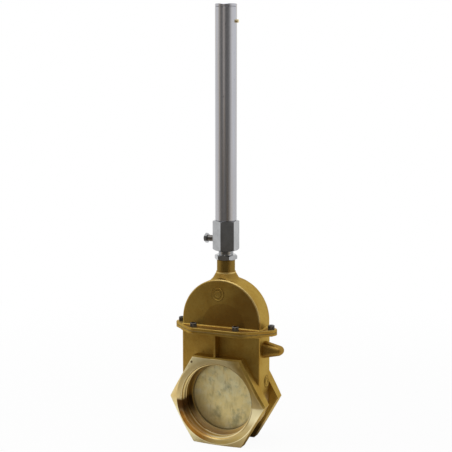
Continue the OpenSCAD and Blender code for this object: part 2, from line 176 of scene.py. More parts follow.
class Shader:
    """The nodes of one material or world, written as expressions on their values."""

    def __init__(self, owner: bpy.types.Material | bpy.types.World) -> None:
        """Clears a node tree.

        Args:
            owner: The material or world that the tree belongs to.
        """
        owner.use_nodes = True
        self.owner = owner
        self.tree = owner.node_tree
        self.tree.nodes.clear()

    def node(self, kind: str, settings: dict | None = None, inputs: dict | None = None) -> bpy.types.Node:
        """Adds one node.

        Args:
            kind: The node's type.
            settings: Its properties, or the stops of a ramp, which are set first.
            inputs: Values or links by the name or number of an input socket.

        Returns:
            The new node.
        """
        made = self.tree.nodes.new(kind)
        for name, setting in (settings or {}).items():
            if name == "stops":
                self._set_stops(made.color_ramp, setting)
            else:
                setattr(made, name, setting)
        for key, value in (inputs or {}).items():
            self.feed(made.inputs[key], value)
        return made

    def feed(self, socket: bpy.types.NodeSocket, value: object) -> None:
        """Links a value to an input socket, or sets a plain number, vector or colour on it."""
        if isinstance(value, Value):
            self.tree.links.new(value.socket, socket)
        elif isinstance(value, bpy.types.NodeSocket):
            self.tree.links.new(value, socket)
        elif socket.type == "RGBA":
            socket.default_value = (*value[:3], 1.0)
        else:
            socket.default_value = value

    @staticmethod
    def _set_stops(ramp: bpy.types.ColorRamp, stops: list[tuple[float, Colour]]) -> None:
        """Gives a colour ramp its stops."""
        while len(ramp.elements) < len(stops):
            ramp.elements.new(1.0)
        for element, (position, colour) in zip(ramp.elements, stops):
            element.position = position
            element.color = (*colour, 1.0)

    def math(self, operation: str, *values: Number) -> Value:
        """Adds a Math node.

        Args:
            operation: The operation's name.
            values: The numbers or links that it works on.

        Returns:
            The result.
        """
        made = self.node("ShaderNodeMath", {"operation": operation}, dict(enumerate(values)))
        return Value(self, made.outputs[0])

    def place(self, centre: Vector | None = None, scale: Vector | None = None) -> bpy.types.NodeSocket:
        """Gives the place on the object, measured from a centre.

        Args:
            centre: The point that becomes the origin, in metres.
            scale: How many pattern units a metre holds along each axis.

        Returns:
            The vector output of the Mapping node.
        """
        source = self.node("ShaderNodeTexCoord").outputs["Object"]
        stretch = scale or Vector((1.0, 1.0, 1.0))
        shift = Vector() if centre is None else Vector(-c * s for c, s in zip(centre, stretch))
        made = self.node("ShaderNodeMapping", {}, {"Vector": source, "Location": shift, "Scale": stretch})
        return made.outputs[0]

    def split(self, vector: bpy.types.NodeSocket) -> tuple[Value, Value, Value]:
        """Takes a vector apart into its x, y and z."""
        made = self.node("ShaderNodeSeparateXYZ", {}, {"Vector": vector})
        return tuple(Value(self, output) for output in made.outputs)

    def noise(
        self,
        size: float,
        detail: float = 3.0,
        rough: float = 0.55,
        stretch: Vector | None = None,
        seed: float = 0.0,
    ) -> Value:
        """Adds smooth noise.

        Args:
            size: The size of its blotches in metres.
            detail: How many finer layers it has.
            rough: How strong the finer layers are.
            stretch: How many times longer the blotches are along each axis.
            seed: Shifts the pattern, so that two noises differ.

        Returns:
            Noise about 0.5.
        """
        longer = stretch or Vector((1.0, 1.0, 1.0))
        scale = Vector(1.0 / (size * s) for s in longer)
        vector = self.place(centre=Vector((seed, seed, seed)) * MM, scale=scale)
        inputs = {"Vector": vector, "Scale": 1.0, "Detail": detail, "Roughness": rough}
        return Value(self, self.node("ShaderNodeTexNoise", {}, inputs).outputs["Fac"])

    def distance(self, point: Vector) -> Value:
        """Gives the distance from a point of the object."""
        ends = {0: self.place(), 1: point}
        apart = self.node("ShaderNodeVectorMath", {"operation": "DISTANCE"}, ends)
        return Value(self, apart.outputs["Value"])

    def ray(self, *kinds: str) -> Value:
        """Gives 1 for rays of the named kinds and 0 for others."""
        path = self.node("ShaderNodeLightPath")
        found, *others = (Value(self, path.outputs[f"Is {kind} Ray"]) for kind in kinds)
        for other in others:
            found = found.larger(other)
        return found

    def mix(self, first: Tint, second: Tint, factor: Number, blend: str = "MIX") -> bpy.types.NodeSocket:
        """Mixes two colours.

        Args:
            first: The colour where the factor is 0.
            second: The colour where the factor is 1.
            factor: How much of the second colour shows.
            blend: The way that the colours are mixed.

        Returns:
            The mixed colour.
        """
        made = self.node("ShaderNodeMix", {"data_type": "RGBA", "blend_type": blend}, {0: factor})
        self.feed(made.inputs[6], first)
        self.feed(made.inputs[7], second)
        return made.outputs[2]

    def levels(self, value: Value, levels: Levels) -> bpy.types.NodeSocket:
        """Turns a number into a grey by a table of levels.

        Args:
            value: The number.
            levels: Pairs of a number and its level, from the lowest number to the highest.

        Returns:
            The grey.
        """
        low, high = levels[0][0], levels[-1][0]
        stops = [((at - low) / (high - low), (level, level, level)) for at, level in levels]
        share = (value - low) / (high - low)
        return self.node("ShaderNodeValToRGB", {"stops": stops}, {0: share}).outputs[0]

    def bump(
        self, height: Value, distance: float, strength: float = 1.0, under: bpy.types.NodeSocket | None = None
    ) -> bpy.types.NodeSocket:
        """Bends the surface's normal by a height.

        Args:
            height: The height, in units of the distance.
            distance: How far a height of 1 stands out, in metres.
            strength: How much of the bend shows.
            under: The normal of a coarser bump below this one.

        Returns:
            The bent normal.
        """
        inputs = {"Height": height, "Distance": distance, "Strength": strength}
        if under is not None:
            inputs["Normal"] = under
        return self.node("ShaderNodeBump", {}, inputs).outputs[0]

    def finish(self, **inputs: object) -> bpy.types.Material:
        """Adds the surface shader and the output.

        Args:
            **inputs: What feeds the surface shader's sockets, with _ for a space in a name.

        Returns:
            The finished material.
        """
        named = {key.replace("_", " "): value for key, value in inputs.items()}
        return self.surfaced(self.node("ShaderNodeBsdfPrincipled", {}, named))

    def surfaced(self, surface: bpy.types.Node) -> bpy.types.Material:
        """Puts a surface shader on the material's output, and gives the material."""
        self.node("ShaderNodeOutputMaterial", {}, {"Surface": surface.outputs[0]})
        return self.owner


# -------------------------------------------------------------------- finishes


@dataclass(frozen=True)
class Roundel:
    """A plain raised ring with a smaller one inside it."""

    name: str
    place: Vector
    out: Vector
    radius: float
    band: float = 1.5 * MM
    inner_share: float = 0.42

    def rings(self) -> tuple[tuple[float, float], tuple[float, float]]:
        """Gives the inner and outer radius of each ring, the larger ring first."""
        inner = self.radius * self.inner_share
        return (self.radius - self.band, self.radius), (inner, inner + self.band)


ROUNDELS = (
    Roundel("roundel_bonnet", Vector((-5.0, 17.5, 159.5)) * MM, -ALONG_FLOW, 10.0 * MM),
    Roundel("roundel_side", Vector((63.0, 44.0, 27.5)) * MM, ACROSS, 9.0 * MM),
)


@dataclass(frozen=True)
class Fade:
    """A smooth range of a measure, between a rise and a fall. Either may be left out."""

    rise: tuple[float, float] | None = None
    fall: tuple[float, float] | None = None

    def of(self, value: Value) -> Value:
        """Gives 1 inside the range and 0 outside it."""
        if self.fall is None:
            return value.between(*self.rise)
        falling = 1 - value.between(*self.fall)
        return falling if self.rise is None else value.between(*self.rise) * falling


@dataclass(frozen=True)
class Area:
    """A part of a casting, bounded by fades. A measure that is itself a mask has no fade."""

    fades: dict[str, Fade | None]

    def mask(self, at: dict[str, Value]) -> Value:
        """Gives 1 in the area and 0 outside it, from the casting's measures."""
        pairs = self.fades.items()
        first, *others = (at[name] if fade is None else fade.of(at[name]) for name, fade in pairs)
        return math.prod(others, start=first)


@dataclass(frozen=True)
class Layer(Area):
    """An area with the colour that covers it."""

    colour: Colour
    strength: float

    def over(self, s: Shader, below: Tint, at: dict[str, Value]) -> bpy.types.NodeSocket:
        """Covers the area of a colour below."""
        return s.mix(below, self.colour, self.mask(at) * self.strength)


@dataclass(frozen=True)
class CastBrass:
    """Sand-cast brass with turned port faces and bores, gone brown with age, with painted highlights, painted
    shade and painted reflections on its faces, bores and skin. Measures are in millimetres.
    """

    name: str = "cast_brass_aged"
    fresh: Colour = (0.42, 0.285, 0.070)
    aged: Colour = (0.335, 0.197, 0.037)
    # grime_and_painted_shade darkens dirt spots, a casting pit and the roundels' ring edges, and is painted
    # shade under the body's rear half
    grime_and_painted_shade: Colour = (0.09, 0.050, 0.014)
    turned: Colour = (0.79, 0.70, 0.41)
    dull: Colour = (0.62, 0.50, 0.23)
    edge_tint: Colour = (0.95, 0.82, 0.54)
    # painted_mid_tone is painted shade on the turned port faces and a painted highlight along the bonnet
    # flange's top edge
    painted_mid_tone: Colour = (0.50, 0.365, 0.15)
    # root and crest paint the bore's bands: crest is a painted highlight on the thread's crests and root is
    # painted shade in its roots; crest also paints highlights on the neck's foot and the bonnet's rim
    root: Colour = (0.22, 0.125, 0.032)
    crest: Colour = (0.66, 0.50, 0.20)
    # gold and gold_highlight paint the bore's lower wall as lit, with painted highlights on its crests and a
    # painted highlight line on the port face
    gold: Colour = (0.62, 0.38, 0.06)
    gold_highlight: Colour = (1.0, 0.88, 0.52)
    # gold_ring is a painted reflection at the bottom of the front port's face
    gold_ring: Colour = (0.56, 0.40, 0.12)
    # shaded and pale are painted shade and painted highlights on the turned port faces
    shaded: Colour = (0.47, 0.31, 0.075)
    pale: Colour = (0.98, 0.87, 0.52)
    # painted_light_tone is painted light on the lower trunk between the ports and on the rear port's lower
    # side
    painted_light_tone: Colour = (0.70, 0.58, 0.33)
    # bore_brown is painted shade deeper in the lower bore
    bore_brown: Colour = (0.36, 0.17, 0.028)
    # patina_and_painted_shade darkens the body's right side under the flange and the bonnet's boss, and is
    # painted shade on the bonnet's lower right and a painted dark reflection in an arch on its front
    patina_and_painted_shade: Colour = (0.20, 0.100, 0.020)
    neck_brown: Colour = (0.17, 0.115, 0.030)
    # stain_and_painted_reflection is a painted dark reflection on the lower left of the front port's face
    stain_and_painted_reflection: Colour = (0.085, 0.040, 0.012)
    # painted_brown_reflection and orange paint a brown reflection at the lower left of the front port
    painted_brown_reflection: Colour = (0.27, 0.115, 0.018)
    orange: Colour = (0.44, 0.21, 0.035)
    face_r: float = 65.0
    cone_slope: float = math.tan(math.radians(15))
    slant: float = math.radians(30)
    arch: tuple[float, float] = (4.0, 112.0)
    crown: tuple[float, float] = (0.0, 119.0)
    bonnet_shade_z: float = 142.0
    highlight_line_r: float = 65.6
    pit: tuple[float, float, float] = (-40.8, 2.0, 56.7)
    ring_pitch: float = 1.3
    bore: Fade = Fade(None, (58.8, 59.2))
    face: Area = Area(
        {"behind": Fade(None, (0.36, 0.6)), "radius": Fade(None, (78, 79)), "z": Fade(None, (67.1, 67.5))}
    )
    rough_side: Fade = Fade((62.3, 63.3))
    rough_top: Fade = Fade((64, 65))
    upper_front: Area = Area({"z": Fade((-4, -1)), "y": Fade(None, (-1, 1))})
    # the bore's lower wall, which is painted as lit
    golden: Fade = Fade(None, (-44, -14))
    # painted highlight (1) and painted shade (0) in bands along the bore, by depth
    bore_bands: Levels = (
        (0.0, 0.4), (1.5, 0.0), (3.3, 1.0), (5.7, 1.0), (8.1, 0.0), (11.1, 0.0),
        (13.5, 1.0), (15.9, 1.0), (18.3, 0.0), (22.8, 0.0), (25.2, 0.5), (30.0, 0.5),
    )
    # painted shade, darker deeper in the lower bore and to its left
    bore_layer: Layer = Layer({"depth": Fade((15, 19)), "right": Fade(None, (-6, 34))}, bore_brown, 0.9)
    # dull blotches, then a painted highlight over the upper part, painted shade towards the lower right and
    # painted shade at the upper right
    face_layers: tuple[Layer, ...] = (
        Layer({"blotch": Fade((0.4, 0.7))}, dull, 0.6),
        Layer({"z": Fade((0, 50))}, pale, 0.6),
        Layer({"lower_right": Fade((-10, 52))}, painted_mid_tone, 0.85),
        Layer({"upper_right": Fade((44, 58)), "z": Fade((4, 28))}, shaded, 0.9),
    )
    front: Fade = Fade(None, (-19.6, -17))
    above: Fade = Fade((110.2, 112))
    skin_layers: tuple[Layer, ...] = (
        Layer({"spot": Fade((0.64, 0.76))}, grime_and_painted_shade, 0.5),
        # painted shade over the bonnet front's lower right, and a painted dark reflection in an arch on its
        # front
        Layer({"bonnet_right": Fade((0, 36)), "y": front, "z": above}, patina_and_painted_shade, 0.6),
        Layer({"arch": Fade(None, (33, 35)), "y": front, "z": above}, patina_and_painted_shade, 0.36),
        # painted light over the lower trunk between the ports, and faintly on the rear port's lower side
        Layer({"y": Fade((-20.5, -18.5), (13, 17)), "drum_top": Fade(None, (2, 20))}, painted_light_tone, 0.8),
        Layer({"y": Fade((20, 22)), "z": Fade(None, (-10, 4))}, painted_light_tone, 0.12),
    )
    # darker along the outer edge of each roundel ring
    roundel_edge_dark: Layer = Layer({"ring": Fade(None, (0.2, 1.1))}, grime_and_painted_shade, 0.5)
    edge_layers: tuple[Layer, ...] = (
        # painted highlight along the bonnet flange's top edge
        Layer({"z": Fade((109.5, 109.7), (109.95, 110.2))}, painted_mid_tone, 0.6),
        Layer({"x": Fade((64, 65.5)), "z": Fade((45, 55), (98, 100))}, patina_and_painted_shade, 0.5),
        # painted shade under the body's rear half
        Layer({"z": Fade(None, (-52, -40)), "y": Fade((-8, 4))}, grime_and_painted_shade, 0.8),
        Layer({"z": Fade((176, 186))}, patina_and_painted_shade, 0.55),
        Layer({"z": Fade((191, 195))}, neck_brown, 0.6),
        # painted highlight ring at the neck's foot
        Layer({"z": Fade((189.6, 190.4), (191.6, 192.3))}, crest, 0.85),
        # painted highlight along the bonnet's upper rim, left of its middle
        Layer(
            {"crown": Fade((60, 61.2), (62.8, 62.95)), "y": front}
            | {"z": Fade((119, 127)), "x": Fade((-30, 0))},
            crest,
            0.7,
        ),
    )
    port_front: Fade = Fade(None, (-16, -12))
    port: Fade = Fade(None, (64.6, 65.4))
    # painted reflection in gold at the bottom of the front port's face
    gold_area: Area = Area({"z_wobbled": Fade(None, (-48, -32)), "mouth": None})
    port_turned: Area = Area({"y": port_front, "machined": None})
    # painted highlight line along the outer edge of the front port's turned face, at its bottom
    gold_highlight_line: Layer = Layer(
        port_turned.fades
        | {"gold_highlight_line": Fade(None, (0.3, 1)), "z": Fade(None, (-40, -20)), "x": Fade((-44, -30))},
        gold_highlight,
        0.8,
    )
    # painted brown reflection on the lower left of the front port's face and shallow bore
    brown_reflection_area: Area = Area({"z_wobbled": Fade(None, (-20, -6)), "x_wobbled": Fade(None, (-22, 8))})
    brown_reflection_depth: Fade = Fade(None, (-26.5, -23.5))
    pit_and_painted_light_layers: tuple[Layer, ...] = (
        # painted dark reflection over the lower left of the front port's face
        Layer(
            port_turned.fades
            | {"z_wobbled_less": Fade(None, (-4.5, 0.5)), "z_wobbled": Fade((-28, -9))}
            | {"x_wobbled": Fade(None, (-44, -20)), "radius": port},
            stain_and_painted_reflection,
            1.0,
        ),
        Layer({"pit": Fade(None, (1.5, 2.5))}, grime_and_painted_shade, 0.9),
        # painted shade on the right of the front port's turned face
        Layer(port_turned.fades | {"x": Fade((42, 60)), "z_cornered": Fade((-4, 1))}, painted_mid_tone, 0.3),
        # painted highlight patch at the lower right of the front port's face
        Layer(port_turned.fades | {"x": Fade((48, 54)), "z": Fade((-36, -18), (-5, -2))}, pale, 0.8),
    )

    def build(self, length: float) -> bpy.types.Material:
        """Makes the material.

        Args:
            length: The distance between the two port faces, in metres.

        Returns:
            The material.
        """
        s = Shader(bpy.data.materials.new(self.name))
        at = self._measured(s, length)
        in_bore = self.bore.of(at["radius"])
        rough_cast = self.rough_side.of(at["slant"]).larger(self.rough_top.of(at["z"]))
        on_face = self.face.mask(at) * (1 - rough_cast * self.upper_front.mask(at))
        at["machined"] = on_face.larger(in_bore)
        wall = in_bore * (1 - on_face)
        # golden is the bore's lower wall, painted as lit gold and less metallic
        golden = self.golden.of(at["low"])
        turned = s.mix(self._face_colour(s, at), self._bore_colour(s, at, golden), wall * 0.85)
        colour = self._painted_light_and_pit(s, s.mix(self._skin_colour(s, at), turned, at["machined"]), at)
        cast = 1 - at["machined"]
        rings = (at["radius"] * (math.tau / self.ring_pitch)).sine() * 0.5
        grain = s.noise(1.3 * MM, 3.0, 0.6, seed=5.0)
        lumps = s.noise(9 * MM, 2.0, 0.5, seed=12.0)
        coarse = s.bump(lumps * cast, 0.9 * MM, 0.35)
        sand = s.bump(grain * cast, 0.35 * MM, 0.5, coarse)
        return s.finish(
            Base_Color=colour,
            Metallic=1 - golden * wall * 0.65,
            Roughness=0.26 + cast * 0.12 + at["fleck"] * 0.10,
            Specular_Tint=self.edge_tint,
            Normal=s.bump(rings * on_face, 0.05 * MM, 0.6, sand),
        )

    def _measured(self, s: Shader, length: float) -> dict[str, Value]:
        """Measures the surface from the middle of the bore's axis.

        Args:
            s: The shader.
            length: The distance between the two port faces, in metres.

        Returns:
            Lengths in millimetres and the shared noises, by name.
        """
        x, y, z = (side / MM for side in s.split(s.place(Vector((0.0, length / 2, 0.0)))))
        radius = (x * x + z * z).root()
        depth = length / 2 / MM - abs(y)
        slant = x * math.cos(self.slant) + z * math.sin(self.slant)
        blotch = s.noise(30 * MM, 4.0, 0.6)
        drift = blotch - 0.5
        wander = s.noise(24 * MM, 3.0, 0.55, seed=88.0) * 26
        # wobble makes the edges of the painted reflections and painted shade round the front port ragged
        wobble = s.noise(10 * MM, 3.0, 0.6, seed=61.0) * 10
        at = {
            "x": x,
            "y": y,
            "z": z,
            "radius": radius,
            "depth": depth,
            "slant": slant,
            "behind": depth - ((radius - self.face_r) * self.cone_slope).larger(0.0),
            "blotch": blotch,
            "fleck": s.noise(4 * MM, 3.0, 0.6, seed=31.0),
            "spot": s.noise(2.2 * MM, 2.0, 0.5, seed=77.0),
            "low": z + drift * 20,
            "right": x + drift * 30,
            "lower_right": x * 0.8 - z * 0.6 + drift * 30,
            "upper_right": slant + drift * 16,
            "bonnet_right": x * 0.75 - (z - self.bonnet_shade_z) * 0.65 + wander,
            "drum_top": z + wander * 0.5,
            "x_wobbled": x + wobble,
            "z_wobbled": z + wobble,
            "z_wobbled_less": z + wobble * 0.15,
            "z_cornered": z + wobble * 0.2,
            "gold_highlight_line": abs(radius - self.highlight_line_r),
            "pit": s.distance(Vector(self.pit) * MM) / MM,
        }
        for name, (across, up) in (("arch", self.arch), ("crown", self.crown)):
            aside, over = x - across, z - up
            at[name] = (aside * aside + over * over).root()
        at["mouth"] = self.port_front.of(y) * self.port.of(radius) * (1 - self.bore.of(radius))
        return at

    def _face_colour(self, s: Shader, at: dict[str, Value]) -> bpy.types.NodeSocket:
        """Colours the turned port faces: dull blotches, a painted highlight over their upper part, and
        painted shade towards the lower right and at the upper right.
        """
        return self._covered(s, self.turned, self.face_layers, at)

    def _bore_colour(self, s: Shader, at: dict[str, Value], golden: Value) -> bpy.types.NodeSocket:
        """Paints the bore in bands of painted highlight and painted shade along the flow, darker above and
        painted as lit gold on its lower wall.

        Args:
            s: The shader.
            at: The casting's measures.
            golden: 1 in the lower part of the bore, which is painted as lit gold, 0 above it.

        Returns:
            The bore's colour.
        """
        band = Value(s, s.levels(at["depth"], self.bore_bands))
        gold = self.bore_layer.over(s, self.gold, at)
        return s.mix(s.mix(self.root, self.crest, band), s.mix(gold, self.gold_highlight, band), golden)

    def _skin_colour(self, s: Shader, at: dict[str, Value]) -> bpy.types.NodeSocket:
        """Colours the sand-cast skin: random age, dirt spots and darker roundel edges; darker on the right
        side under the flange and on the boss; painted light and painted shade on its sides and bottom, a
        painted dark reflection on the bonnet, and painted highlights along some edges.
        """
        age = at["blotch"].between(0.36, 0.66) * 0.7 + at["fleck"].between(0.35, 0.75) * 0.3
        skin = self._covered(s, s.mix(self.fresh, self.aged, age), self.skin_layers, at)
        for roundel in ROUNDELS:
            away = s.distance(roundel.place)
            for _, outer in roundel.rings():
                skin = self.roundel_edge_dark.over(s, skin, {"ring": abs(away - outer) / MM})
        return self._covered(s, skin, self.edge_layers, at)

    def _painted_light_and_pit(self, s: Shader, colour: Tint, at: dict[str, Value]) -> bpy.types.NodeSocket:
        """Adds painted reflections round the front port, gold at its bottom and brown and near black at its
        lower left, a painted highlight line, painted shade and a painted highlight patch to its right, and a
        casting pit.

        Args:
            s: The shader.
            colour: The colour without these marks.
            at: The casting's measures.

        Returns:
            The colour with these marks.
        """
        streaks = s.noise(5 * MM, 2.0, 0.5, seed=17.0).between(0.36, 0.64)
        colour = s.mix(colour, self.gold_ring, self.gold_area.mask(at) * (streaks * 0.3 + 0.45))
        colour = self.gold_highlight_line.over(s, colour, at)
        painted_brown_reflection = s.mix(self.painted_brown_reflection, self.orange, streaks * 0.35)
        brown_reflected = self.brown_reflection_area.mask(at)
        colour = s.mix(colour, painted_brown_reflection, brown_reflected * at["mouth"])
        shallow = self.brown_reflection_depth.of(at["y"]) * self.port.of(at["radius"]) * self.bore.of(at["radius"])
        colour = s.mix(colour, s.mix(painted_brown_reflection, self.orange, 0.5), brown_reflected * shallow * 0.85)
        return self._covered(s, colour, self.pit_and_painted_light_layers, at)

    @staticmethod
    def _covered(
        s: Shader, colour: Tint, layers: tuple[Layer, ...], at: dict[str, Value]
    ) -> bpy.types.NodeSocket:
        """Lays layers over a colour, one after another."""
        for layer in layers:
            colour = layer.over(s, colour, at)
        return colour


@dataclass(frozen=True)
class GateBrass:
    """Rolled brass plate with grey-green water stains and faint upright streaks, browner to the lower left,
    and with painted shade towards its rim.
    """

    name: str = "gate_brass_stained"
    plate: Colour = (0.79, 0.66, 0.30)
    pale: Colour = (0.80, 0.74, 0.45)
    # on the gate, stain_and_painted_reflection is grey-green water staining
    stain_and_painted_reflection: Colour = (0.235, 0.235, 0.135)
    brown: Colour = (0.36, 0.235, 0.075)
    metal: float = 0.55
    rim: tuple[float, float] = (46 * MM, 51 * MM)
    lower_left: tuple[float, float] = (14 * MM, 46 * MM)

    def build(self) -> bpy.types.Material:
        """Makes the material."""
        s = Shader(bpy.data.materials.new(self.name))
        x, _, z = s.split(s.place())
        cloud = s.noise(22 * MM, 5.0, 0.65)
        patch = s.noise(17 * MM, 4.0, 0.6, Vector((1.0, 1.0, 1.3)), seed=41.0)
        streak = s.noise(4 * MM, 3.0, 0.6, Vector((1.0, 1.0, 5.0)), seed=19.0)
        haze = s.noise(13 * MM, 3.0, 0.5, seed=71.0)
        speck = s.noise(1.6 * MM, 2.0, 0.5, seed=9.0)
        colour = s.mix(self.plate, self.pale, cloud.between(0.38, 0.68))
        colour = s.mix(colour, self.brown, streak.between(0.52, 0.78) * 0.4)
        stained = patch.between(0.49, 0.72) * 0.62 + haze.between(0.44, 0.62) * 0.14
        stained = stained + speck.between(0.62, 0.8) * 0.1
        colour = s.mix(colour, self.stain_and_painted_reflection, stained)
        # browner to the lower left, and painted shade towards the rim
        lower_left = (x * -0.75 - z * 0.65).between(*self.lower_left) * 0.6
        rim = (x * x + z * z).root().between(*self.rim) * 0.45
        colour = s.mix(colour, self.brown, lower_left.larger(rim))
        rough = 0.42 + cloud * 0.12 + stained * 0.12
        bump = s.bump(speck, 0.05 * MM, 0.4)
        return s.finish(Base_Color=colour, Metallic=self.metal, Roughness=rough, Normal=bump)


@dataclass(frozen=True)
class TurnedMetal:
    """Metal turned or drawn to a smooth surface, with fine marks and faint streaks."""

    name: str
    bright: Colour
    dull: Colour
    rough: float
    streak: Vector = field(default_factory=lambda: Vector((1.0, 1.0, 1.0)))
    mark_depth: float = 0.02 * MM
    warm: Colour | None = None

    def build(self) -> bpy.types.Material:
        """Makes the material."""
        s = Shader(bpy.data.materials.new(self.name))
        cloud = s.noise(12 * MM, 4.0, 0.6, self.streak)
        mark = s.noise(0.9 * MM, 3.0, 0.6, self.streak, seed=23.0)
        colour = s.mix(self.bright, self.dull, cloud.between(0.35, 0.7) * 0.8 + mark * 0.2)
        if self.warm:
            drawn = s.noise(5 * MM, 2.0, 0.5, self.streak * 2, seed=67.0)
            colour = s.mix(colour, self.warm, drawn.between(0.46, 0.60) * 0.7)
            dots = s.noise(3.6 * MM, 1.0, 0.5, seed=52.0).between(0.74, 0.79)
            colour = s.mix(colour, self.dull, dots * 0.8, "MULTIPLY")
        rough = self.rough + cloud * 0.08 + mark * 0.06
        bump = s.bump(mark, self.mark_depth, 0.5)
        return s.finish(Base_Color=colour, Metallic=1.0, Roughness=rough, Normal=bump)


@dataclass(frozen=True)
class Matt:
    """A rubber, fibre, plastic or blackened surface without metal's glare."""

    name: str
    light: Colour
    dark: Colour
    rough: float
    metal: float = 0.0
    grain: float = 1.2 * MM
    grain_depth: float = 0.04 * MM

    def build(self) -> bpy.types.Material:
        """Makes the material."""
        s = Shader(bpy.data.materials.new(self.name))
        cloud = s.noise(self.grain * 6, 4.0, 0.6)
        grain = s.noise(self.grain, 3.0, 0.6, seed=14.0)
        colour = s.mix(self.light, self.dark, cloud.between(0.35, 0.7))
        bump = s.bump(grain, self.grain_depth, 0.5)
        rough = self.rough + grain * 0.1
        return s.finish(Base_Color=colour, Metallic=self.metal, Roughness=rough, Normal=bump)


class Finishes:
    """Every finish of the valve, by material slot."""

    def __init__(self) -> None:
        """Builds the materials."""
        recipes = {
            Slot.GATE_BRASS: GateBrass(),
            Slot.TURNED_BRASS: TurnedMetal(
                "turned_brass_bright", (0.72, 0.61, 0.36), (0.58, 0.46, 0.24), 0.3
            ),
            Slot.ZINC_STEEL: TurnedMetal("zinc_plate", (0.43, 0.435, 0.44), (0.34, 0.345, 0.35), 0.08),
            Slot.TUBE_STEEL: TurnedMetal(
                "drawn_tube",
                (0.49, 0.50, 0.545),
                (0.42, 0.415, 0.43),
                rough=0.17,
                streak=Vector((1.0, 1.0, 40.0)),
                mark_depth=0.012 * MM,
                warm=(0.50, 0.435, 0.37),
            ),
            Slot.ROD_STEEL: TurnedMetal("ground_rod", (0.75, 0.75, 0.77), (0.70, 0.70, 0.72), 0.08),
            Slot.BLACK_STEEL: Matt("black_oxide", (0.17, 0.16, 0.15), (0.09, 0.085, 0.08), 0.28, 0.95),
            Slot.SEAL_RUBBER: Matt("moulded_rubber", (0.22, 0.165, 0.065), (0.14, 0.10, 0.035), 0.5),
            Slot.GASKET_FIBRE: Matt("pressed_fibre", (0.36, 0.25, 0.08), (0.25, 0.165, 0.05), 0.6, 0.5),
            Slot.PACKING_PLASTIC: Matt("packing_white", (0.80, 0.79, 0.75), (0.72, 0.71, 0.67), 0.4),
        }
        self.materials = {slot: recipe.build() for slot, recipe in recipes.items()}
        self.materials[Slot.CAST_BRASS] = CastBrass().build(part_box("body_casting")[1].y)
        self.slots = {p["node"]: Slot(p["material_slot"]) for p in frame["record"]["subparts"]}

    def dress_frame(self) -> None:
        """Gives every CAD node the finish of its slot."""
        for name, node in frame["nodes"].items():
            for place in node.material_slots:
                place.material = self.materials[self.slots[name]]


# ------------------------------------------------------------------ mesh tools


